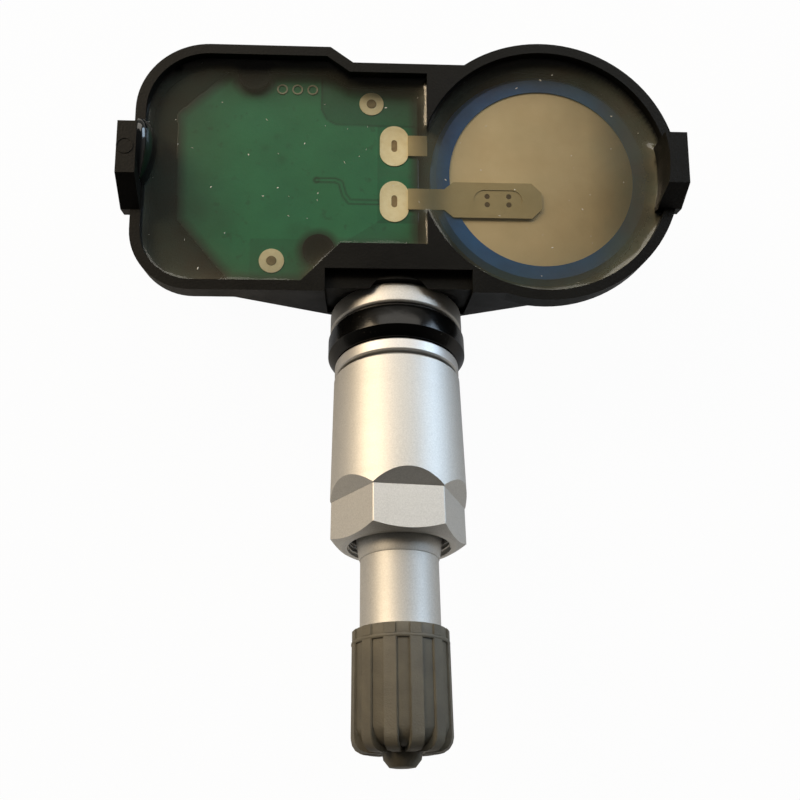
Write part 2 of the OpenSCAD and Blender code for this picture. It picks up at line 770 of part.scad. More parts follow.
// Barrel nut with a hexagon milled at its outer end
module valve_nut() {
    corner_r = barrel_r - 0.1;
    hex_s = nut_l - hex_l;
    color("#d0d1d3") on_stem(nut_s) difference() {
        rotate_extrude() polygon([[bore_r, 0], [barrel_r - 0.3, 0], [barrel_r, 0.3], [barrel_r, hex_s],
            [corner_r, hex_s], [corner_r, nut_l - 0.7], [corner_r - 1.2, nut_l], [nut_mouth_r, nut_l],
            [nut_mouth_r, nut_l - 1], [bore_r, nut_l - 1.2]]);
        for (i = [0:5]) rotate([0, 0, 90 - hex_turn + i * 60]) rotate([90, 0, 0])
            linear_extrude(2 * barrel_r, center = true) polygon([[hex_af / 2, nut_l + over],
                [hex_af / 2, hex_s], [barrel_r + 0.05, hex_s - scallop_l],
                [barrel_r + 3, hex_s - scallop_l], [barrel_r + 3, nut_l + over]]);
    }
}

module core_body() {
    color("#c8a860") on_stem() rotate_extrude() polygon([[pin_r + slack, core_shelf],
        [pin_r + slack, core_shelf - core_seat_l - 1.4], [1.5, core_shelf - core_seat_l - 1.4],
        [1.5, core_shelf - 0.3], [core_seat_r - run_gap, core_shelf],
        [core_mouth_r - run_gap, core_shelf + run_gap],
        [core_mouth_r - run_gap, core_top], [core_bore_r, core_top], [core_bore_r, core_shelf]]);
}

module core_gasket() {
    color("#e8e6e0") on_stem(core_shelf - 1.9) difference() {
        cylinder(r = core_seat_r - tiny, h = 1.4);
        translate([0, 0, -over]) cylinder(r = 1.5 + tiny, h = 4);
    }
}

// Pin that opens the valve when it is pushed in
module core_pin() {
    bottom = core_shelf - core_seat_l - 1.4 - cup_l - 0.3;
    color("#cdb46a") on_stem() {
        translate([0, 0, bottom]) cylinder(r = pin_r, h = core_top + 0.4 - bottom);
        translate([0, 0, core_top - 0.3 - pin_head_l]) cylinder(r = pin_head_r, h = pin_head_l);
    }
}

module core_cup() {
    top = core_shelf - core_seat_l - 1.4 - 0.05;
    color("#303030") on_stem(top - cup_l) difference() {
        cylinder(r = 1.4, h = cup_l);
        translate([0, 0, -over]) cylinder(r = pin_r + tiny, h = cup_l + 2 * over);
    }
}

// Ring of points round the spring's wire at one step of its helix
function spring_ring(a, z) = [for (k = [0:4]) let (t = k * 72, r = spring_r - spring_wire / 2 * (1 - cos(t)))
    [r * cos(a), r * sin(a), z + spring_wire / 2 * sin(t)]];

module core_spring() {
    low = core_shelf + 0.15;
    high = core_top - 0.3 - pin_head_l - 0.15;
    steps = spring_turns * 12;
    points = [for (i = [0:steps]) each spring_ring(i * 30, low + (high - low) * i / steps)];
    sides = [for (i = [0:steps - 1], k = [0:4]) [i * 5 + k, i * 5 + (k + 1) % 5,
        (i + 1) * 5 + (k + 1) % 5, (i + 1) * 5 + k]];
    color("#9a9a98") on_stem() polyhedron(points = points, faces = concat([[4, 3, 2, 1, 0]], sides,
        [[for (k = [0:4]) steps * 5 + k]]), convexity = 10);
}

module cap_seal() {
    color("#2a2a2a") on_stem(seal_s) difference() {
        cylinder(r = mouth_d / 2 - 0.3, h = seal_t);
        translate([0, 0, -over]) cylinder(r = 2, h = seal_t + 2 * over);
    }
}

// Ribbed cap with a notched collar at its mouth and a nub on its end
module valve_cap() {
    hole_r = mouth_d / 2 + thread_h + run_gap;
    skirt_r = shank_d / 2 + 2 * run_gap;
    root_r = cap_r - rib_depth;
    color("#3b3a39") on_stem(cap_s) difference() {
        rotate_extrude() polygon([[skirt_r, 0], [cap_r, 0], [cap_r + 0.1, 0.1], [cap_r + 0.1, cap_collar],
            [cap_r, cap_collar + 0.1], [cap_r - 0.05, cap_l - 1.2], [cap_r - 0.3, cap_l - 0.5],
            [cap_r - 0.8, cap_l - 0.1], [cap_r - 1.4, cap_l], [nub_r, cap_l], [nub_r - 0.7, cap_l + nub_l],
            [0, cap_l + nub_l], [0, cap_inner], [hole_r, cap_inner], [hole_r, cap_skirt + 0.6],
            [skirt_r, cap_skirt]]);
        for (i = [0:rib_count - 1]) rotate([0, 0, i * 360 / rib_count]) {
            translate([root_r, -rib_gap / 2, cap_collar + 0.2]) cube([2, rib_gap, cap_l]);
            translate([cap_r - 0.05, -rib_gap / 2, -over]) cube([2, rib_gap, over + cap_collar - 0.15]);
            translate([nub_r + slack, -rib_gap / 2, cap_inner + cap_end_t / 4])
                cube([cap_r, rib_gap, cap_end_t]);
        }
    }
}

housing();
potting();
circuit_board();
solder_pads();
battery_cell();
battery_sleeve();
negative_tab();
positive_tab();
sensor_chip();
port_gasket();
coil_core();
coil_winding();
crystal();
capacitors();
antenna_wire();
valve_stem();
grommet();
washer();
valve_nut();
core_body();
core_gasket();
core_pin();
core_cup();
core_spring();
cap_seal();
valve_cap();
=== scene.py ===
"""Looks for a clamp-in tyre pressure sensor: potted housing, board and coin cell on a metal valve."""
import math

import bmesh
import bpy
import numpy as np
from mathutils import Matrix, Vector


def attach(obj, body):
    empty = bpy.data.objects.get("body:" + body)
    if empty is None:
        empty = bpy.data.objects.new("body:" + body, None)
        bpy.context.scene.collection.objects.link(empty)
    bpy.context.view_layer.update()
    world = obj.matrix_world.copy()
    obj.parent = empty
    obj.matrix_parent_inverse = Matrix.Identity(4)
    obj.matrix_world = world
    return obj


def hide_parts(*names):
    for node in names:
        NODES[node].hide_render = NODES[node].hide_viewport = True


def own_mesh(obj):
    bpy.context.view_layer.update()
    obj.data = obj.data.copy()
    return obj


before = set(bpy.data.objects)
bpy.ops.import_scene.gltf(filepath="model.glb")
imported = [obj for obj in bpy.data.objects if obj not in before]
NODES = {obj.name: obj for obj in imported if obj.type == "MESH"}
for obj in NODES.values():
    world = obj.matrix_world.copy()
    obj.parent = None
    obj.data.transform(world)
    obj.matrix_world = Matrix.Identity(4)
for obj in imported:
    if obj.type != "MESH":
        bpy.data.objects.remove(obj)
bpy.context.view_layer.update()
MM = 0.001
# Corners nearer than this, in millimetres, are made one
MERGE = 0.002

# Levels and places repeated from the part's source, in millimetres
RIM = 16.0
POTTING = RIM - 1.3
BOARD = RIM - 2.4
BOARD_THICKNESS = 1.0
CELL = RIM - 2.5
SLEEVE_THICKNESS, TINY = 0.15, 0.02
RING_PADS = [(-2.95, 8.4), (-13.65, -10.1)]
TEST_RINGS = [(-12.9 + 1.68 * i, 9.95) for i in range(3)]
SLOT_X, SLOTS_Y = -0.4, (3.4, -3.1)
WELDS_AT = (11.05, -2.85)

# Stations along the valve's axis, from where it leaves the housing, and its tilt in degrees
TILT = 17.5
NUT_END, CAP_S, CAP_END = 27.0, 35.2, 46.0
MOUTH_S, TIP_S, MOUTH_PITCH = 36.75, 43.75, 0.794
STEM = (Matrix.Translation(Vector((0, -14.9, 7.65)) * MM)
        @ Matrix.Rotation(math.radians(90 - TILT), 4, "X"))


# Colours and shader nodes

# Sockets of a Mix node that mixes colours
SHARE, FIRST, SECOND, MIXED = 0, 6, 7, 2


def srgb(code):
    """A hex colour as linear RGBA."""
    parts = [int(code[i:i + 2], 16) / 255 for i in (1, 3, 5)]
    return tuple(c / 12.92 if c <= 0.04045 else ((c + 0.055) / 1.055) ** 2.4 for c in parts) + (1.0,)


def add(tree, kind, inputs=None, **settings):
    """Adds a node: settings are its properties, inputs maps sockets to values or other nodes' outputs."""
    node = tree.nodes.new(kind)
    for name, value in settings.items():
        setattr(node, name, value)
    for name, value in (inputs or {}).items():
        if isinstance(value, bpy.types.NodeSocket):
            tree.links.new(value, node.inputs[name])
        else:
            node.inputs[name].default_value = value
    return node


def material(name, **sockets):
    """A new material with one Principled shader, its fixed values set on the sockets."""
    made = bpy.data.materials.new(name)
    made.use_nodes = True
    shader = made.node_tree.nodes["Principled BSDF"]
    for socket, value in sockets.items():
        shader.inputs[socket.replace("_", " ")].default_value = value
    return made, made.node_tree, shader


def feed(tree, shader, **sockets):
    """Links outputs to a shader's sockets."""
    for socket, value in sockets.items():
        tree.links.new(value, shader.inputs[socket.replace("_", " ")])


def place(tree, turn=None):
    """Object coordinates, turned into the valve's own frame when asked."""
    coords = add(tree, "ShaderNodeTexCoord").outputs["Object"]
    if turn is None:
        return coords
    moved = add(tree, "ShaderNodeVectorMath", {0: coords, 1: STEM.translation}, operation="SUBTRACT")
    upright = {"Vector": moved.outputs[0], "Rotation": (-math.radians(90 - TILT), 0, 0)}
    return add(tree, "ShaderNodeMapping", upright, vector_type="POINT").outputs[0]


def two_tone(tree, coords, size_mm, dark, light):
    """A colour that drifts between two, over blobs about size_mm across."""
    blobs = add(tree, "ShaderNodeTexNoise", {"Vector": coords, "Scale": 1 / (size_mm * MM), "Detail": 3.0,
                                             "Roughness": 0.6})
    colour = add(tree, "ShaderNodeValToRGB", {"Fac": blobs.outputs["Fac"]})
    for stop, position, code in zip(colour.color_ramp.elements, (0.3, 0.7), (dark, light)):
        stop.position, stop.color = position, srgb(code)
    return colour.outputs["Color"]


def drift(tree, coords, size_mm, span, reach, detail=3.0, rough=0.6):
    """A value that drifts over blobs about size_mm across: the noise's span is stretched to the reach."""
    blobs = add(tree, "ShaderNodeTexNoise", {"Vector": coords, "Scale": 1 / (size_mm * MM), "Detail": detail,
                                             "Roughness": rough})
    ends = {"From Min": span[0], "From Max": span[1], "To Min": reach[0], "To Max": reach[1]}
    return add(tree, "ShaderNodeMapRange", {"Value": blobs.outputs["Fac"], **ends}).outputs[0]


def relief(tree, shader, coords, size_mm, depth_mm, detail=3.0):
    """A fine grain of a size and depth in millimetres, which only the light feels."""
    blobs = add(tree, "ShaderNodeTexNoise", {"Vector": coords, "Scale": 1 / (size_mm * MM), "Detail": detail,
                                             "Roughness": 0.6})
    felt = add(tree, "ShaderNodeBump", {"Height": blobs.outputs["Fac"], "Distance": depth_mm * MM,
                                        "Strength": 1.0})
    feed(tree, shader, Normal=felt.outputs["Normal"])


def moulded_nylon():
    """Glass-filled nylon from a spark-eroded mould: near black, an even grain and a faint sheen."""
    made, tree, shader = material("glass_filled_nylon", IOR=1.53, Specular_IOR_Level=0.15)
    coords = place(tree)
    # The mould's real grain, about 0.05 mm, is too fine for the picture and is drawn at this size
    grain_mm, patch_mm = 0.22, 6.0
    colour = two_tone(tree, coords, patch_mm, "#080807", "#0e0e0b")
    speck = drift(tree, coords, grain_mm, (0.58, 0.78), (0.0, 0.3), 4.0)
    layers = {SHARE: speck, FIRST: colour, SECOND: srgb("#24221c")}
    specked = add(tree, "ShaderNodeMix", layers, data_type="RGBA")
    feed(tree, shader, Base_Color=specked.outputs[MIXED],
         Roughness=drift(tree, coords, patch_mm, (0.3, 0.7), (0.44, 0.6)))
    relief(tree, shader, coords, grain_mm, 0.03, 4.0)
    return made


def clear_gel():
    """Potting gel, poured: clear, glossy, hazy all through, with a paler film where it climbs the walls and
    painted shadow below the far walls.
    """
    made, tree, shader = material("potting_gel", IOR=1.41, Roughness=0.16, Coat_Weight=0.5,
                                  Coat_Roughness=0.06, Coat_IOR=1.5)
    coords = place(tree)
    film, haze, shade = [add(tree, "ShaderNodeAttribute", attribute_name=label).outputs["Fac"]
                         for label in ("film", "haze", "shade")]
    cloud_mm = 7.0
    wisps = drift(tree, coords, 1.6, (0.35, 0.7), (0.5, 1.2), 5.0, 0.7)
    climbing = add(tree, "ShaderNodeMath", {0: film, 1: wisps}, operation="MULTIPLY").outputs[0]
    thicker = drift(tree, coords, cloud_mm, (0.3, 0.7), (-0.03, 0.03))
    body = add(tree, "ShaderNodeMath", {0: haze, 1: thicker}, operation="ADD").outputs[0]
    alpha = add(tree, "ShaderNodeMath", {0: body, 1: climbing}, operation="ADD", use_clamp=True).outputs[0]
    greener = drift(tree, coords, cloud_mm, (0.35, 0.65), (0.0, 1.0))
    colour = srgb("#5a574c")
    # The shade attribute mixes in near black as painted shadow below the far walls; the film mixes in a paler
    # colour
    for share, code in ((greener, "#545d53"), (shade, "#060605"), (climbing, "#8a7d62")):
        layers = {SHARE: share, FIRST: colour, SECOND: srgb(code)}
        colour = add(tree, "ShaderNodeMix", layers, data_type="RGBA").outputs[MIXED]
    feed(tree, shader, Base_Color=colour, Alpha=alpha)
    relief(tree, shader, coords, 5.0, 0.03, 1.0)
    return made


def solder_mask():
    """Solder mask over copper and laminate: glossy green in two depths, fading out at the board's edge."""
    made, tree, shader = material("solder_mask_green", IOR=1.5, Roughness=0.35)
    coords = place(tree)
    tone, edge = [add(tree, "ShaderNodeAttribute", attribute_name=label).outputs["Fac"]
                  for label in ("tone", "edge")]
    blot = drift(tree, coords, 1.1, (0.62, 0.74), (0.0, 0.35), 2.0)
    colour = two_tone(tree, coords, 3.5, "#1f7a51", "#288457")
    for share, code in ((blot, "#1c4a33"), (tone, "#0f3a28"), (edge, "#080807")):
        layers = {SHARE: share, FIRST: colour, SECOND: srgb(code)}
        colour = add(tree, "ShaderNodeMix", layers, data_type="RGBA").outputs[MIXED]
    feed(tree, shader, Base_Color=colour)
    relief(tree, shader, coords, 0.4, 0.01)
    return made


def plain_finish(name, dark, light, patch_mm, grain_mm, depth_mm, **sockets):
    """A finish that drifts between two colours over patches, with a fine grain of its own depth."""
    made, tree, shader = material(name, **sockets)
    coords = place(tree)
    feed(tree, shader, Base_Color=two_tone(tree, coords, patch_mm, dark, light))
    relief(tree, shader, coords, grain_mm, depth_mm)
    return made


def satin_aluminium(name, dark, light, rough):
    """Turned aluminium, blasted and clear anodised: satin, with a fine sparkle and faint turning lines."""
    made, tree, shader = material(name, Metallic=1.0)
    coords = place(tree, "stem")
    stretched = add(tree, "ShaderNodeMapping", {"Vector": coords, "Scale": (0.15, 0.15, 6.0)}).outputs[0]
    # Blasting leaves pits of about 0.05 mm, drawn at 0.15 mm so that the sparkle shows
    sparkle, lines = [add(tree, "ShaderNodeTexNoise", {"Vector": where, "Scale": 1 / (size_mm * MM),
                                                       "Detail": detail, "Roughness": 0.6}).outputs["Fac"]
                      for where, size_mm, detail in ((coords, 0.15, 4.0), (stretched, 1.2, 3.0))]
    mixed = add(tree, "ShaderNodeMath", {0: sparkle, 1: lines}, operation="ADD").outputs[0]
    colour = add(tree, "ShaderNodeValToRGB", {"Fac": sparkle})
    for stop, position, code in zip(colour.color_ramp.elements, (0.3, 0.7), (dark, light)):
        stop.position, stop.color = position, srgb(code)
    gloss = add(tree, "ShaderNodeMapRange", {"Value": mixed, "From Min": 0.7, "From Max": 1.3,
                                             "To Min": rough - 0.03, "To Max": rough + 0.04})
    felt = add(tree, "ShaderNodeBump", {"Height": mixed, "Distance": 0.004 * MM, "Strength": 1.0})
    feed(tree, shader, Base_Color=colour.outputs["Color"], Roughness=gloss.outputs[0],
         Normal=felt.outputs["Normal"])
    return made


def black_rubber():
    """Synthetic rubber, moulded: black, with a waxy shine that wanders and a few pale specks of dust."""
    made, tree, shader = material("grommet_rubber", IOR=1.52, Specular_IOR_Level=0.26)
    coords = place(tree)
    dust = drift(tree, coords, 0.35, (0.70, 0.76), (0.0, 0.6), 2.0)
    layers = {SHARE: dust, FIRST: srgb("#040404"), SECOND: srgb("#3d3b36")}
    dusty = add(tree, "ShaderNodeMix", layers, data_type="RGBA").outputs[MIXED]
    feed(tree, shader, Base_Color=dusty, Roughness=drift(tree, coords, 2.5, (0.3, 0.7), (0.15, 0.25)))
    relief(tree, shader, coords, 1.2, 0.02)
    return made


NYLON = moulded_nylon()
GEL = clear_gel()
MASK = solder_mask()
RUBBER = black_rubber()
SATIN = satin_aluminium("anodised_aluminium", "#bebdba", "#d2d1ce", 0.56)
BRIGHT = satin_aluminium("turned_aluminium", "#c4c3c0", "#d4d3d1", 0.5)

# Tin flowed over copper by a hot dip: pale, warm and dull, faintly rippled
TIN = plain_finish("hot_tinned_copper", "#f0e2b2", "#faf0c6", 0.8, 0.3, 0.02, Metallic=0.1, Roughness=0.45)
# Tin too thin to hide the copper and mask below it: a grey-green line
RING_TIN = plain_finish("thin_tinning", "#8f957a", "#b4b79c", 0.6, 0.2, 0.01, Roughness=0.5)
# Solder left matt and browned by its flux
FILL = plain_finish("browned_solder", "#7d6a48", "#94805a", 0.5, 0.15, 0.03, Metallic=0.3, Roughness=0.5)
# Pressed steel under a thin bright plating: even, warm under the gel, a broad soft shine
CAN = plain_finish("nickel_plated_steel", "#dfc797", "#e9d3a3", 5.0, 0.5, 0.01, Metallic=0.35, Roughness=0.42)
# Film shrunk by heat: a clean blue with a plastic gloss
SLEEVE = plain_finish("blue_shrink_film", "#1b5084", "#255f98", 4.0, 0.6, 0.02, Roughness=0.3)
# Rolled strip: a little darker and sharper in its shine than the can
STRIP = plain_finish("rolled_nickel", "#b7a577", "#c2b082", 3.0, 0.4, 0.01, Metallic=0.35, Roughness=0.38)
# Oxide burnt into the strip by the welding electrodes: brown and dull
WELD = plain_finish("weld_scale", "#4a3c28", "#6a5638", 0.3, 0.1, 0.02, Metallic=0.4, Roughness=0.6)
# Moulded chip body: matt black
EPOXY = plain_finish("moulded_epoxy", "#161617", "#222223", 1.5, 0.15, 0.02, Roughness=0.6)
# Soft gasket: grey and quite without shine
FOAM = plain_finish("silicone_gasket", "#3a3a3c", "#47474a", 1.0, 0.2, 0.02, Roughness=0.8)
# Pressed and fired powder: dark brown and gritty
FERRITE = plain_finish("sintered_ferrite", "#26231f", "#34302b", 0.8, 0.15, 0.03, Roughness=0.7)
# Drawn wire under clear enamel: warm, with a keen shine
COPPER = plain_finish("enamelled_copper", "#8f4a22", "#a85c2c", 1.0, 0.2, 0.02, Metallic=0.9, Roughness=0.35)
# Fired ceramic chips: matt tan
CERAMIC = plain_finish("capacitor_ceramic", "#a48a66", "#b79c76", 0.5, 0.1, 0.01, Roughness=0.5)
# Turned brass of the core: yellow and bright
BRASS = plain_finish("turned_brass", "#b08a3e", "#c6a052", 1.0, 0.2, 0.01, Metallic=1.0, Roughness=0.3)
# Pressed sealing ring: an off-white wax
PTFE = plain_finish("sealing_ptfe", "#dcdad2", "#e8e6df", 1.0, 0.2, 0.01, Roughness=0.5)
# Drawn spring wire: mid grey and bright along its length
WIRE = plain_finish("drawn_spring_steel", "#7d7d7c", "#929290", 0.6, 0.1, 0.01, Metallic=1.0, Roughness=0.3)
# Moulded cap: a grey-brown plastic with a fine tooth that takes the shine off
CAP = plain_finish("cap_plastic", "#524f46", "#635f53", 2.5, 0.16, 0.03, Roughness=0.58)
# Gel set in a thick bead over black plastic: wet, dark and slightly blue
CREPT = plain_finish("crept_gel", "#05080a", "#0b1014", 2.0, 1.2, 0.03, Roughness=0.14, IOR=1.41,
                     Coat_Weight=0.6)
# Lint and chips lying on the gel, with some flecks as painted glints on its surface: near white and matt
FLECK = plain_finish("dust", "#cfcdc6", "#e6e4dd", 0.5, 0.2, 0.01, Roughness=0.7)


for node, made in (("housing", NYLON), ("potting", GEL), ("solder_pads", TIN), ("battery_cell", CAN),
                   ("battery_sleeve", SLEEVE), ("negative_tab", STRIP), ("positive_tab", STRIP),
                   ("sensor_chip", EPOXY), ("port_gasket", FOAM), ("coil_core", FERRITE),
                   ("coil_winding", COPPER), ("crystal", BRIGHT), ("capacitors", CERAMIC),
                   ("antenna_wire", COPPER), ("core_body", BRASS), ("core_gasket", PTFE), ("core_pin", BRASS),
                   ("core_cup", RUBBER), ("core_spring", WIRE), ("cap_seal", RUBBER)):
    for holder in NODES[node].material_slots:
        holder.material = made


# Mesh helpers

def new_object(name, mesh, made, body="sensor", smooth_angle=35):
    """Puts a mesh in the scene as a piece that rides on a body."""
    mesh.materials.clear()
    mesh.materials.append(made)
    piece = bpy.data.objects.new(name, mesh)
    bpy.context.scene.collection.objects.link(piece)
    for polygon in mesh.polygons:
        polygon.use_smooth = True
    mesh.set_sharp_from_angle(angle=math.radians(smooth_angle))
    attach(piece, body)
    return piece


def finished(shape, name):
    """Ends a shape's making and gives its mesh."""
    mesh = bpy.data.meshes.new(name)
    shape.to_mesh(mesh)
    shape.free()
    return mesh


def join_rings(shape, low, high):
    """Faces between two rings with as many corners, or between a ring and a pole."""
    sides = max(len(low), len(high))
    if sides == 1:
        return
    for i in range(sides):
        j = (i + 1) % sides
        if len(low) == 1:
            shape.faces.new((low[0], high[i], high[j]))
        elif len(high) == 1:
            shape.faces.new((low[i], low[j], high[0]))
        else:
            shape.faces.new((low[i], low[j], high[j], high[i]))


def grid_mesh(name, xs, ys, level, keep, fields):
    """A mesh over the points of a grid that are kept, with its named fields as attributes."""
    shape = bmesh.new()
    grid = [[shape.verts.new(Vector((xs[i], ys[j], level[j, i])) * MM) if keep[j, i] else None
             for i in range(len(xs))] for j in range(len(ys))]
    for low, high in zip(grid, grid[1:]):
        for i in range(len(xs) - 1):
            corners = [low[i], low[i + 1], high[i + 1], high[i]]
            if all(corners):
                shape.faces.new(corners)
    mesh = finished(shape, name)
    for label, field in fields.items():
        layer = mesh.attributes.new(label, "FLOAT", "POINT")
        layer.data.foreach_set("value", field[keep].tolist())
    return mesh


def to_mesh(piece):
    """Applies what modifiers a piece has, and leaves a plain mesh."""
    graph = bpy.context.evaluated_depsgraph_get()
    plain = bpy.data.meshes.new_from_object(piece.evaluated_get(graph))
    piece.modifiers.clear()
    piece.data = plain
    return piece


def eased_copy(node, name, made, width_mm, body="sensor", angle=28):
    """A copy of a CAD node with its sharp edges eased, standing for the node."""
    mesh = NODES[node].data.copy()
    if "custom_normal" in mesh.attributes:
        mesh.attributes.remove(mesh.attributes["custom_normal"])
    shape = bmesh.new()
    shape.from_mesh(mesh)
    bmesh.ops.remove_doubles(shape, verts=shape.verts, dist=MERGE * MM)
    bmesh.ops.dissolve_limit(shape, angle_limit=math.radians(0.5), verts=shape.verts, edges=shape.edges)
    shape.to_mesh(mesh)
    shape.free()
    piece = new_object(name, mesh, made, body)
    bevel = piece.modifiers.new("ease", "BEVEL")
    bevel.width, bevel.segments, bevel.limit_method = width_mm * MM, 2, "ANGLE"
    bevel.angle_limit = math.radians(angle)
    bevel.harden_normals = True
    to_mesh(piece)
    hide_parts(node)
    return piece


def drawn_in(piece, *stations):
    """Draws a piece in towards the valve's axis, by shares given at stations along it."""
    back = STEM.inverted()
    for vert in piece.data.vertices:
        spot = back @ vert.co
        share = np.interp(spot.z / MM, [along for along, _ in stations], [part for _, part in stations])
        vert.co = STEM @ Vector((spot.x * share, spot.y * share, spot.z))


def turned(profile, segments=128):
    """A mesh turned about the valve's axis from a closed profile of (radius, distance) points, in mm."""
    shape = bmesh.new()
    rings = []
    for radius, along in profile:
        if radius < 1e-6:
            rings.append([shape.verts.new(STEM @ (Vector((0, 0, along)) * MM))])
        else:
            corners = [Vector((radius * math.cos(a), radius * math.sin(a), along)) * MM
                       for a in np.linspace(0, 2 * math.pi, segments, endpoint=False)]
            rings.append([shape.verts.new(STEM @ corner) for corner in corners])
    pairs = list(zip(rings, rings[1:]))
    if len(rings[0]) > 1 and len(rings[-1]) > 1:
        pairs.append((rings[-1], rings[0]))
    for low, high in pairs:
        join_rings(shape, low, high)
    bmesh.ops.recalc_face_normals(shape, faces=shape.faces)
    return finished(shape, "turned")


def socket_id(tree, name):
    """The identifier of a node group's input."""
    return next(item.identifier for item in tree.interface.items_tree
                if item.item_type == "SOCKET" and item.in_out == "INPUT" and item.name == name)


def geometry_tree(name, inputs):
    """A Geometry Nodes tree with a geometry in and out and named inputs."""
    tree = bpy.data.node_groups.new(name, "GeometryNodeTree")
    tree.interface.new_socket("Geometry", in_out="INPUT", socket_type="NodeSocketGeometry")
    tree.interface.new_socket("Geometry", in_out="OUTPUT", socket_type="NodeSocketGeometry")
    for label, kind in inputs:
        tree.interface.new_socket(label, in_out="INPUT", socket_type=kind)
    return tree, add(tree, "NodeGroupInput").outputs


def close_tree(tree, geometry, made):
    """Ends a tree in Realize Instances and Set Material."""
    real = add(tree, "GeometryNodeRealizeInstances", {"Geometry": geometry}).outputs[0]
    dressed = add(tree, "GeometryNodeSetMaterial", {"Geometry": real, "Material": made}).outputs[0]
    add(tree, "NodeGroupOutput", {"Geometry": dressed})


def run_tree(piece, tree, values):
    """Runs a tree on a piece with its inputs set, and leaves the result as a plain mesh."""
    modifier = piece.modifiers.new("build", "NODES")
    modifier.node_group = tree
    for label, value in values.items():
        modifier[socket_id(tree, label)] = value
    return to_mesh(piece)


def ring_tree():
    """Copies of the incoming mesh, turned evenly about the local Z axis."""
    tree, given = geometry_tree("ring_of_copies", [("Count", "NodeSocketInt"),
                                                   ("Material", "NodeSocketMaterial")])
    points = add(tree, "GeometryNodeMeshLine", {"Count": given["Count"], "Offset": (0, 0, 0)}).outputs[0]
    index = add(tree, "GeometryNodeInputIndex").outputs[0]
    step = add(tree, "ShaderNodeMath", {0: 2 * math.pi, 1: given["Count"]}, operation="DIVIDE").outputs[0]
    turn = add(tree, "ShaderNodeMath", {0: index, 1: step}, operation="MULTIPLY").outputs[0]
    euler = add(tree, "ShaderNodeCombineXYZ", {"Z": turn}).outputs[0]
    copies = add(tree, "GeometryNodeInstanceOnPoints", {"Points": points, "Instance": given["Geometry"],
                                                         "Rotation": euler}).outputs[0]
    close_tree(tree, copies, given["Material"])
    return tree


def thread_tree():
    """A ridge of triangular section wound in a helix about the local Z axis."""
    sizes = [(label, "NodeSocketFloat") for label in ("Radius", "Length", "Turns", "Ridge")]
    tree, given = geometry_tree("thread_ridge", sizes + [("Material", "NodeSocketMaterial")])
    winding = {"Resolution": 48, "Rotations": given["Turns"], "Start Radius": given["Radius"],
               "End Radius": given["Radius"], "Height": given["Length"]}
    helix = add(tree, "GeometryNodeCurveSpiral", winding).outputs[0]
    section = add(tree, "GeometryNodeCurvePrimitiveCircle", {"Resolution": 4, "Radius": given["Ridge"]},
                  mode="RADIUS").outputs[0]
    ridge = add(tree, "GeometryNodeCurveToMesh", {"Curve": helix, "Profile Curve": section,
                                                  "Fill Caps": True}).outputs[0]
    close_tree(tree, ridge, given["Material"])
    return tree


def fleck_tree():
    """Small flecks scattered over the incoming faces, each turned and sized at random from a fixed seed."""
    tree, given = geometry_tree("scattered_flecks", [("Density", "NodeSocketFloat"),
                                                     ("Size", "NodeSocketFloat"), ("Seed", "NodeSocketInt"),
                                                     ("Material", "NodeSocketMaterial")])
    spread = {"Mesh": given["Geometry"], "Density": given["Density"], "Seed": given["Seed"]}
    spots = add(tree, "GeometryNodeDistributePointsOnFaces", spread)
    chip = add(tree, "GeometryNodeMeshIcoSphere", {"Radius": given["Size"], "Subdivisions": 1}).outputs[0]
    low, high = (0.2, 0.3, 0.15), (0.9, 2.0, 0.4)
    size = add(tree, "FunctionNodeRandomValue", {0: low, 1: high, "Seed": given["Seed"]},
               data_type="FLOAT_VECTOR").outputs[0]
    turn = add(tree, "FunctionNodeRandomValue", {0: (0, 0, 0), 1: (0, 0, 6.28), "Seed": given["Seed"]},
               data_type="FLOAT_VECTOR").outputs[0]
    flecks = add(tree, "GeometryNodeInstanceOnPoints", {"Points": spots.outputs[0], "Instance": chip,
                                                        "Rotation": turn, "Scale": size}).outputs[0]
    close_tree(tree, flecks, given["Material"])
    return tree


RING, THREAD, FLECKS = ring_tree(), thread_tree(), fleck_tree()


def stand_on_stem(piece):
    """Moves a mesh made about its own Z axis onto the valve's axis."""
    piece.data.transform(STEM)
    return piece


def box_mesh(low, high):
    """A box between two corners, in millimetres."""
    shape = bmesh.new()
    bmesh.ops.create_cube(shape, size=1)
    low, high = Vector(low) * MM, Vector(high) * MM
    for vert in shape.verts:
        vert.co = Vector([low[i] + (vert.co[i] + 0.5) * (high[i] - low[i]) for i in range(3)])
    return finished(shape, "box")


def joined(name, pieces, made, body):
    """Joins pieces' meshes into one piece."""
    shape = bmesh.new()
    for piece in pieces:
        shape.from_mesh(piece.data)
        bpy.data.objects.remove(piece)
    return new_object(name, finished(shape, name), made, body)


# The board: a fine grid that carries its copper's tone and the soft edge that the potting gives it

def near_line(x, y, line):
    """Distance from each point to a broken line."""
    best = np.full(x.shape, 1e9)
    for (ax, ay), (bx, by) in zip(line, line[1:]):
        dx, dy = bx - ax, by - ay
        t = np.clip(((x - ax) * dx + (y - ay) * dy) / (dx * dx + dy * dy), 0, 1)
        best = np.minimum(best, np.hypot(x - ax - t * dx, y - ay - t * dy))
    return best


def inside(x, y, outline):
    """Which points lie in a closed outline."""
    result = np.zeros(x.shape, bool)
    for (ax, ay), (bx, by) in zip(outline, outline[1:] + outline[:1]):
        crosses = (ay > y) != (by > y)
        at = ax + (y - ay) * (bx - ax) / (by - ay if by != ay else 1e-9)
        result ^= crosses & (x < at)
    return result


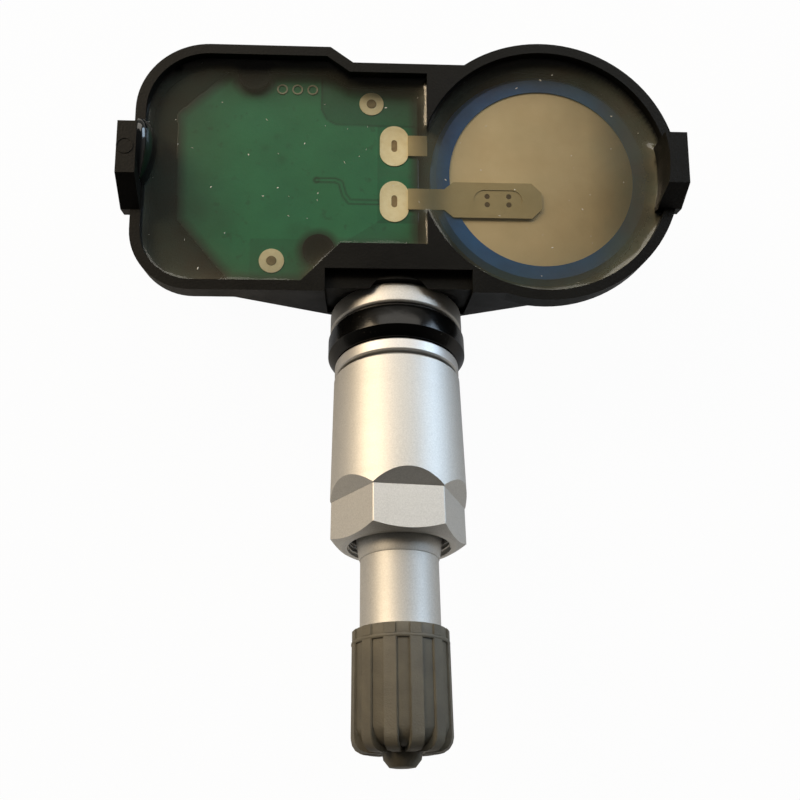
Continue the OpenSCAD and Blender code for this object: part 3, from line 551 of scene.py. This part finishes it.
BOARD_EDGE = [(-24, 6.7), (-18.8, 11.5), (-8.3, 11.5), (-5.6, 9.9), (1.9, 9.9), (1.9, -8.1), (-6.3, -8.1),
              (-10.6, -12.1), (-18, -12.1), (-23.6, -5.5)]
POSTS = [((-16, 11.3), 2.0), ((-8.6, -8.9), 1.9)]
TRACE = [(-8.9, -0.74), (-6.9, -0.74), (-6.3, -1.0), (-5.9, -2.4), (-5.3, -3.2), (-2.2, -3.22)]
POUR_EDGE = [(-8.5, 11.5), (-8.5, 7.6), (-7.9, 6.4), (-6.8, 5.8), (1.9, 5.75), (1.9, 11.5)]
SOFT_PATCHES = [(-18.6, -5.4, 1.6), (-21.5, -4.2, 1.4), (-12.8, 1.6, 0.5), (-14.6, 2.9, 0.45),
                (-11.2, -6.6, 0.9), (-9.9, -6.4, 0.5), (-13.4, 4.3, 0.4), (-12.1, 3.2, 0.35)]


PAST_EDGE, EDGE_FADE = 0.45, 1.3


def soft_step(value, width):
    """0 to 1 across a width."""
    return np.clip(value / width + 0.5, 0, 1)


def make_board():
    """The board's top as a grid, with the tones of its copper and the edge that fades into the potting."""
    step = 0.14
    xs, ys = np.arange(-24.6, 2.6, step), np.arange(-12.7, 12.2, step)
    x, y = np.meshgrid(xs, ys)
    edge_line = BOARD_EDGE + BOARD_EDGE[:1]
    depth = near_line(x, y, edge_line) * np.where(inside(x, y, BOARD_EDGE), 1, -1)
    for (px, py), radius in POSTS:
        depth = np.minimum(depth, np.hypot(x - px, y - py) - radius)
    # The grid runs a little past the board's outline, so that its edge fades out instead of ending
    depth += PAST_EDGE
    edge = 1 - soft_step(depth - EDGE_FADE / 2, EDGE_FADE)
    # Mask is darker along the trace's edges, round its end, over the pours and in a few soft patches
    trace = near_line(x, y, TRACE)
    tone = 0.8 * np.exp(-((trace - 0.24) / 0.10) ** 2)
    tone += 0.45 * np.exp(-((np.hypot(x + 9.0, y + 0.74) - 0.3) / 0.12) ** 2)
    pour = inside(x, y, POUR_EDGE)
    tone += 0.45 * pour + 0.35 * np.exp(-(near_line(x, y, POUR_EDGE[:5]) / 0.14) ** 2)
    tone += 0.30 * ((x > -2.2) & (y < 5.7) & (y > -5.6))
    lower = inside(x, y, [(-6.3, -8.2), (-1.0, -4.6), (2, -4.6), (2, -8.2)])
    tone += 0.28 * lower + 0.20 * inside(x, y, [(-16, -7.6), (-9.4, -7.6), (-9.4, -12.2), (-16, -12.2)])
    for px, py, radius in SOFT_PATCHES:
        tone += 0.22 * np.exp(-((x - px) ** 2 + (y - py) ** 2) / radius ** 2)
    mesh = grid_mesh("board", xs, ys, np.full(x.shape, BOARD), depth > -0.35 * step,
                     {"tone": np.minimum(tone, 1), "edge": edge})
    piece = new_object("circuit_board_dressed", mesh, MASK, "sensor")
    solid = piece.modifiers.new("thickness", "SOLIDIFY")
    solid.thickness, solid.offset = BOARD_THICKNESS * MM, -1
    to_mesh(piece)
    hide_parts("circuit_board")


make_board()


def discs(name, spots, radius, level, height, made, sides=24):
    """Small flat discs at given places."""
    shape = bmesh.new()
    for x, y in spots:
        made_disc = bmesh.ops.create_cone(shape, cap_ends=True, segments=sides, radius1=radius * MM,
                                          radius2=radius * MM, depth=height * MM)
        bmesh.ops.translate(shape, verts=made_disc["verts"], vec=Vector((x, y, level + height / 2)) * MM)
    return new_object(name, finished(shape, name), made, "sensor")


def dress_pads():
    """The soldered pads as they are, with the three test rings thinner and duller."""
    mesh = NODES["solder_pads"].data.copy()
    piece = new_object("pads_tinned", mesh, TIN, "sensor")
    mesh.materials.append(RING_TIN)
    ring_reach, hole_reach, hole_radius = 0.7, 0.4, 0.44
    for place_mm in TEST_RINGS:
        spot = Vector(place_mm) * MM
        for polygon in mesh.polygons:
            if (polygon.center.xy - spot).length < ring_reach * MM:
                polygon.material_index = 1
        for vert in mesh.vertices:
            away = vert.co.xy - spot
            if away.length < hole_reach * MM:
                wider = spot + away.normalized() * hole_radius * MM
                vert.co = (wider.x, wider.y, vert.co.z)
    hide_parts("solder_pads")


dress_pads()
WELD_LEVEL = CELL + SLEEVE_THICKNESS + TINY
WELDS = [(WELDS_AT[0] + dx, WELDS_AT[1] + dy) for dx in (-1.2, 1.2) for dy in (-0.48, 0.48)]
discs("weld_spots", WELDS, radius=0.29, level=WELD_LEVEL + 0.005, height=0.05, made=WELD)
slot_boxes = [box_mesh((SLOT_X - 0.33, y - 0.72, BOARD - 0.02), (SLOT_X + 0.33, y + 0.72, BOARD + 0.04))
              for y in SLOTS_Y]
joined("slot_fills", [new_object("slot", box, FILL) for box in slot_boxes], FILL, "sensor")
discs("solder_fills", RING_PADS, radius=0.52, level=BOARD + 0.06, height=0.06, made=FILL,
      sides=32)

# The valve's metal and its rubber grommet, with eased edges, and some ends drawn in a little
eased_copy("valve_stem", "stem_turned", SATIN, width_mm=0.1)
washer = eased_copy("washer", "washer_turned", BRIGHT, width_mm=0.08, body="washer")
drawn_in(washer, (0, 0.98))
nut = eased_copy("valve_nut", "nut_milled", SATIN, width_mm=0.07, body="nut")
drawn_in(nut, (8, 0.98), (20, 1.0))
grommet = eased_copy("grommet", "grommet_moulded", RUBBER, width_mm=0.15)
drawn_in(grommet, (0, 1.0), (2, 0.96))


def make_spring():
    """The core's spring as wound, as a piece with a mesh of its own."""
    mesh = NODES["core_spring"].data.copy()
    shape = bmesh.new()
    shape.from_mesh(mesh)
    bmesh.ops.remove_doubles(shape, verts=shape.verts, dist=0.0005 * MM)
    shape.to_mesh(mesh)
    shape.free()
    piece = new_object("spring_wound", mesh, WIRE, "sensor", 80)
    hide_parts("core_spring")
    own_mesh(piece)


make_spring()


def make_thread(name, radius, start, length, pitch, ridge, made, body):
    """A thread on the valve's axis, from start along it."""
    piece = new_object(name, bpy.data.meshes.new(name), made, body)
    run_tree(piece, THREAD, {"Radius": radius * MM, "Length": length * MM, "Turns": length / pitch,
                             "Ridge": ridge * MM, "Material": made})
    piece.data.transform(Matrix.Translation((0, 0, start * MM)))
    return stand_on_stem(piece)


make_thread("nut_thread", radius=5.16, start=NUT_END - 1.15, length=1.0, pitch=0.5, ridge=0.14, made=SATIN,
            body="nut")
shoulder = turned([(3.8, 25), (4.4, 25), (4.35, 26), (4.02, 28.1), (3.95, 28.3), (3.8, 28.3)])
new_object("stem_shoulder", shoulder, SATIN, "sensor")
make_thread("valve_thread", radius=3.68, start=MOUTH_S + 0.3, length=TIP_S - MOUTH_S - 0.9,
            pitch=MOUTH_PITCH, ridge=0.13, made=SATIN, body="sensor")


# The cap: a turned shell with flat ribs, a notched collar and rounded rib ends. Angles are in degrees
RIBS, RIB_HALF_ANGLE, FIRST_RIB = 12, 7.6, 15 - 90


def make_cap():
    """A turned shell, with twelve ribs and the teeth of the collar set round it, as one piece."""
    length, ridge = CAP_END - CAP_S, 4.65
    root = ridge - 0.17
    shell = [(4.02, 0), (root - 0.05, 0), (root + 0.05, 0.15), (root + 0.05, 1.1), (root, 1.35),
             (root, length - 2.0), (root - 0.35, length - 1.2), (root - 1.0, length - 0.62),
             (root - 1.7, length - 0.42), (1.9, length - 0.4), (1.72, length + 0.5), (1.2, length + 1.12),
             (0.8, length + 1.18), (0, length + 1.19), (0, length - 1.25), (3.88, length - 1.25), (3.88, 1.6),
             (4.02, 1.55)]
    shell = [(r, s + CAP_S) for r, s in shell]
    body = new_object("cap_shell", turned(shell), CAP, "cap")
    half = ridge * math.sin(math.radians(RIB_HALF_ANGLE))
    profile = [(root - 0.3, 1.3), (ridge, 1.3), (ridge, length - 1.3), (ridge - 0.12, length - 0.8),
               (ridge - 0.42, length - 0.36), (ridge - 0.9, length - 0.08), (ridge - 1.4, length),
               (2.3, length), (1.7, length - 0.1), (1.7, length - 0.7), (root - 1.2, length - 0.9),
               (root - 0.5, length - 1.6), (root - 0.3, length - 2.2)]
    shape = bmesh.new()
    sides = [[shape.verts.new(Vector((r, side * half * (1.0 if r > 3.5 else 0.72), s + CAP_S)) * MM)
              for r, s in profile] for side in (-1, 1)]
    shape.faces.new(sides[0])
    shape.faces.new(list(reversed(sides[1])))
    count = len(profile)
    for i in range(count):
        j = (i + 1) % count
        shape.faces.new((sides[0][i], sides[1][i], sides[1][j], sides[0][j]))
    bmesh.ops.recalc_face_normals(shape, faces=shape.faces)
    bmesh.ops.bevel(shape, geom=[e for e in shape.edges if abs(e.verts[0].co.y - e.verts[1].co.y) < 1e-7],
                    offset=0.06 * MM, segments=2, affect="EDGES")
    mesh = finished(shape, "rib")
    mesh.transform(Matrix.Rotation(math.radians(FIRST_RIB), 4, "Z"))
    ribs = new_object("cap_ribs", mesh, CAP, "cap")
    stand_on_stem(run_tree(ribs, RING, {"Count": RIBS, "Material": CAP}))
    tooth = box_mesh((root - 0.1, -0.62, CAP_S + 0.03), (ridge - 0.02, 0.62, CAP_S + 1.12))
    shape = bmesh.new()
    shape.from_mesh(tooth)
    bmesh.ops.bevel(shape, geom=list(shape.edges), offset=0.1 * MM, segments=2, affect="EDGES")
    shape.to_mesh(tooth)
    shape.free()
    tooth.transform(Matrix.Rotation(math.radians(FIRST_RIB), 4, "Z"))
    teeth = new_object("cap_collar", tooth, CAP, "cap")
    stand_on_stem(run_tree(teeth, RING, {"Count": RIBS, "Material": CAP}))
    band = turned([(root - 0.1, CAP_S + 1.05), (ridge, CAP_S + 1.05), (ridge + 0.04, CAP_S + 1.15),
                   (ridge + 0.04, CAP_S + 1.3), (ridge - 0.03, CAP_S + 1.4), (root - 0.1, CAP_S + 1.4)])
    line = new_object("cap_band", band, CAP, "cap")
    cap = joined("cap_ribbed", [body, ribs, teeth, line], CAP, "cap")
    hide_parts("valve_cap")


make_cap()


# Potting: the raised edge where the gel climbs the walls, and the dust and painted glints on it

def potting_rim():
    """Ordered loops round the top of the potting."""
    mesh = NODES["potting"].data
    shape = bmesh.new()
    shape.from_mesh(mesh)
    bmesh.ops.remove_doubles(shape, verts=shape.verts, dist=MERGE * MM)
    top = {f for f in shape.faces
           if f.normal.z > 0.99 and abs(f.calc_center_median().z - POTTING * MM) < 0.01 * MM}
    follow = {}
    for edge in shape.edges:
        on_top = [f for f in edge.link_faces if f in top]
        if len(on_top) == 1:
            loop = next(l for l in edge.link_loops if l.face is on_top[0])
            follow[tuple(loop.vert.co)] = tuple(loop.link_loop_next.vert.co)
    loops = []
    while follow:
        start = next(iter(follow))
        line, here = [start], follow.pop(start)
        while here != start and here in follow:
            line.append(here)
            here = follow.pop(here)
        loops.append(line)
    faces = [[tuple(v.co) for v in f.verts] for f in shape.faces if f in top]
    shape.free()
    return loops, faces


# Where the film on the walls is thickest: place, reach and strength, all read off the photograph
FILMS = [((29.5, 0.0), 6.0, 0.34), ((24.0, -10.0), 7.0, 0.22), ((2.8, 10.0), 1.8, 0.5),
         ((2.9, -9.5), 1.5, 0.45), ((-9.5, -10.5), 2.2, 0.4), ((-20.0, -12.5), 5.0, 0.18)]


def make_gel(loops):
    """The poured top as a fine grid that climbs a little at the walls, running into them unseen."""
    rng = np.random.default_rng(5)
    points = np.array([point for line in loops for point in line])[:, :2] / MM
    margin, step, climb_reach, film_reach = 0.6, 0.22, 0.45, 1.1
    low, high = points.min(0) - margin, points.max(0) + margin
    xs, ys = np.arange(low[0], high[0], step), np.arange(low[1], high[1], step)
    x, y = np.meshgrid(xs, ys)
    reach, within = np.full(x.shape, 1e9), np.zeros(x.shape, bool)
    for line in loops:
        line = [(px / MM, py / MM) for px, py, _ in line]
        reach = np.minimum(reach, near_line(x, y, line + line[:1]))
        within ^= inside(x, y, line)
    depth = np.where(within, reach, -reach)
    climb = 0.22 + 0.1 * np.sin(0.9 * x + 0.4 * y) * np.cos(0.7 * y - 0.3 * x)
    level = POTTING + climb * np.exp(-np.clip(depth, -0.3, None) / climb_reach)
    film = np.zeros(x.shape)
    for (fx, fy), spread, strength in FILMS:
        film += strength * np.exp(-((x - fx) ** 2 + (y - fy) ** 2) / spread ** 2)
    film = (film + 0.05) * np.exp(-np.clip(depth, 0, None) / film_reach) + 0.01 * rng.random(x.shape)
    # Haze is thicker to the battery's end, at the left end, between board and cell and on the valve's side
    haze = 0.26 + 0.12 * np.clip((x - 12) / 8, 0, 1) + 0.34 * np.clip((x - 21) / 4.5, 0, 1)
    haze += 0.14 * np.clip((-x - 17.5) / 5, 0, 1) + 0.34 * np.exp(-((x - 3.6) / 1.5) ** 2) * (np.abs(y) < 9)
    haze += 0.12 * np.clip((-y - 8) / 4, 0, 1)
    # It is clearer over the two slotted pads
    for pad_y in (2.9, -3.6):
        haze -= 0.17 * np.exp(-((x + 0.4) / 1.8) ** 6 - ((y - pad_y) / 2.6) ** 6)
    # Painted shadow: the gel is darker close below the walls on the far side, where those walls shade it, and
    # it is darker over the posts as well
    shade = np.zeros(x.shape)
    for reach_up in (0.3, 0.6, 0.9, 1.2, 1.5):
        beyond = np.ones(x.shape, bool)
        for line in loops:
            beyond ^= inside(x, y + reach_up, [(px / MM, py / MM) for px, py, _ in line])
        shade += 0.2 * beyond
    for (px, py), radius in POSTS:
        shade += 0.6 * np.exp(-(np.hypot(x - px, y - py) / (radius + 0.15)) ** 6)
    shade = np.minimum(shade, 1)
    film *= 1 - shade
    # The painted shadow also thickens the haze, so that its dark colour shows
    mesh = grid_mesh("gel", xs, ys, level, depth > -0.42,
                     {"film": film, "haze": haze + 0.5 * shade, "shade": shade})
    piece = new_object("gel_poured", mesh, GEL, "sensor", 60)
    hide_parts("potting")


def make_flecks(faces):
    """Dust, with some flecks as painted glints, scattered over the flat top of the potting."""
    shape = bmesh.new()
    for corners in faces:
        shape.faces.new([shape.verts.new(c) for c in corners])
    # The near-white flecks are partly dust and partly painted glints on the gel
    piece = new_object("potting_dust_and_glints", finished(shape, "potting_dust_and_glints"), FLECK, "sensor")
    run_tree(piece, FLECKS, {"Density": 0.055 / MM ** 2, "Size": 0.09 * MM, "Seed": 11, "Material": FLECK})


def make_foot_gel():
    """Gel that has crept up the inner side of the left foot and set there as a smooth bulge."""
    face_x, root_z, far_y = -27.42, 15.25, 4.2
    length, bulge, height = 6.8, 1.4, 3.4
    shape = bmesh.new()
    rows = []
    for along in np.linspace(0, 1, 41):
        y = far_y - length * along
        swell = (math.sin(math.pi * along ** 0.62)) ** 0.55 if 0 < along < 1 else 0.0
        row = []
        for turn in np.linspace(0, math.pi / 2, 13):
            reach = bulge * swell * math.sin(turn) ** 0.8
            rise = height * (0.35 + 0.65 * swell) * math.cos(turn) ** 0.7
            row.append(shape.verts.new(Vector((face_x + reach, y, root_z + max(rise, 0.0))) * MM))
        rows.append(row)
    for first, second in zip(rows, rows[1:]):
        for i in range(12):
            shape.faces.new((first[i], second[i], second[i + 1], first[i + 1]))
    bmesh.ops.remove_doubles(shape, verts=shape.verts, dist=MERGE * MM)
    bmesh.ops.recalc_face_normals(shape, faces=shape.faces)
    if sum(face.normal.x for face in shape.faces) < 0:
        bmesh.ops.reverse_faces(shape, faces=shape.faces)
    new_object("gel_on_foot", finished(shape, "gel_on_foot"), CREPT, "sensor", 80)


loops, top_faces = potting_rim()
make_gel(loops)
make_foot_gel()
make_flecks(top_faces)


# The ring that the mould's ejector pin left on top of the housing's left foot

def ring_mark(name, centre, radius, line, height):
    """A low raised ring."""
    shape = bmesh.new()
    turns = np.linspace(0, 2 * math.pi, 48, endpoint=False)
    section = [(radius - line, 0), (radius - line, height), (radius + line, height), (radius + line, 0)]
    x, y, level = centre
    rings = [[shape.verts.new(Vector((x + r * math.cos(a), y + r * math.sin(a), level + z)) * MM)
              for a in turns] for r, z in section]
    for low, high in zip(rings, rings[1:]):
        join_rings(shape, low, high)
    bmesh.ops.recalc_face_normals(shape, faces=shape.faces)
    return new_object(name, finished(shape, name), NYLON, "sensor")


ring_mark("ejector_ring", centre=(-28.42, 0.34, 18.79), radius=0.82, line=0.06, height=0.07)


# Floor, lights and camera

def make_stage():
    """A floor that is white to the camera, partly so in reflections, and pale to everything else."""
    size = 1.6
    mesh = bpy.data.meshes.new("floor")
    corners = [(-size, -size, 0), (size, -size, 0), (size, size, 0), (-size, size, 0)]
    mesh.from_pydata(corners, [], [(0, 1, 2, 3)])
    made, tree, shader = material("pale_floor", Roughness=0.9)
    shader.inputs["Base Color"].default_value = srgb("#d6d5d2")
    path = add(tree, "ShaderNodeLightPath").outputs
    seen = add(tree, "ShaderNodeMath", {0: path["Is Camera Ray"], 1: path["Is Transmission Ray"]},
               operation="MAXIMUM")
    dimmed = add(tree, "ShaderNodeMath", {0: path["Is Glossy Ray"], 1: 0.22}, operation="MULTIPLY")
    clear = add(tree, "ShaderNodeMath", {0: seen.outputs[0], 1: dimmed.outputs[0]}, operation="MAXIMUM")
    share = add(tree, "ShaderNodeMath", {0: clear.outputs[0], 1: 0.97}, operation="MULTIPLY").outputs[0]
    white = add(tree, "ShaderNodeEmission", {"Color": srgb("#ffffff"), "Strength": 1.0}).outputs[0]
    mixed = add(tree, "ShaderNodeMixShader", {0: share, 1: shader.outputs[0], 2: white}).outputs[0]
    tree.links.new(mixed, tree.nodes["Material Output"].inputs["Surface"])
    mesh.materials.append(made)
    floor = bpy.data.objects.new("floor", mesh)
    floor.location.z = -0.05 * MM
    bpy.context.scene.collection.objects.link(floor)


def lamp(name, spot, aim, size, power, code):
    """A square soft lamp, its place and aim in millimetres."""
    data = bpy.data.lights.new(name, "AREA")
    data.shape, data.size, data.size_y = "RECTANGLE", size[0] * MM, size[1] * MM
    data.energy, data.color = power, srgb(code)[:3]
    made = bpy.data.objects.new(name, data)
    made.location = Vector(spot) * MM
    made.rotation_euler = (Vector(aim) - Vector(spot)).to_track_quat("-Z", "Y").to_euler()
    bpy.context.scene.collection.objects.link(made)


make_stage()
# A warm window, a cool one and a broad pale one far behind, all aimed at the middle of the object
MIDDLE = (0, -25, 8)
lamp("window_left", (-670, 510, 530), MIDDLE, size=(440, 480), power=7.4, code="#ffe6c2")
lamp("window_right", (810, 500, 320), MIDDLE, size=(420, 460), power=4.5, code="#cfe7ff")
lamp("window_far", (40, 766, 643), MIDDLE, size=(1100, 520), power=4.7, code="#fcf6ec")

world = bpy.data.worlds.new("room")
bpy.context.scene.world = world
world.use_nodes = True
room = world.node_tree
sky = room.nodes["Background"]
outward = add(room, "ShaderNodeTexCoord").outputs["Generated"]
facing = add(room, "ShaderNodeSeparateXYZ", {"Vector": outward}).outputs
# Lighter at the horizon than overhead, and dark on the side that the valve points to
FADES = (("Z", 0.25, 0.75, 0.62, 0.14), ("Y", -0.7, 0.1, 0.12, 1.0))
wall, side = [add(room, "ShaderNodeMapRange", {"Value": facing[axis], "From Min": low, "From Max": high,
                                               "To Min": at_low, "To Max": at_high}).outputs[0]
              for axis, low, high, at_low, at_high in FADES]
seen = add(room, "ShaderNodeLightPath").outputs["Is Camera Ray"]
tints = {SHARE: seen, FIRST: srgb("#bdb8ae"), SECOND: srgb("#ffffff")}
tint = add(room, "ShaderNodeMix", tints, data_type="RGBA").outputs[MIXED]
shaded = add(room, "ShaderNodeMath", {0: wall, 1: side}, operation="MULTIPLY").outputs[0]
bright = add(room, "ShaderNodeMath", {0: seen, 1: shaded}, operation="MAXIMUM").outputs[0]
feed(room, sky, Color=tint, Strength=bright)

# The camera as solved from the circles and straight edges of the photograph
FOCAL_PX, IMAGE_PX, FILM_MM = 852.391, 800, 36
CAMERA_AT = Vector((-3.893, -40.841, 101.954)) * MM
lens = bpy.data.cameras.new("camera")
lens.lens, lens.sensor_width = FOCAL_PX / IMAGE_PX * FILM_MM, FILM_MM
lens.clip_start, lens.clip_end = 0.005, 10
camera = bpy.data.objects.new("camera", lens)
right, up, back = (0.99894, -0.00147, 0.04597), (-0.00655, 0.98477, 0.17374), (-0.04552, -0.17385, 0.98372)
turn = Matrix((right, up, back)).transposed()
camera.matrix_world = Matrix.Translation(CAMERA_AT) @ turn.to_4x4()
bpy.context.scene.collection.objects.link(camera)
bpy.context.scene.camera = camera
bpy.context.scene.view_settings.view_transform = "Standard"
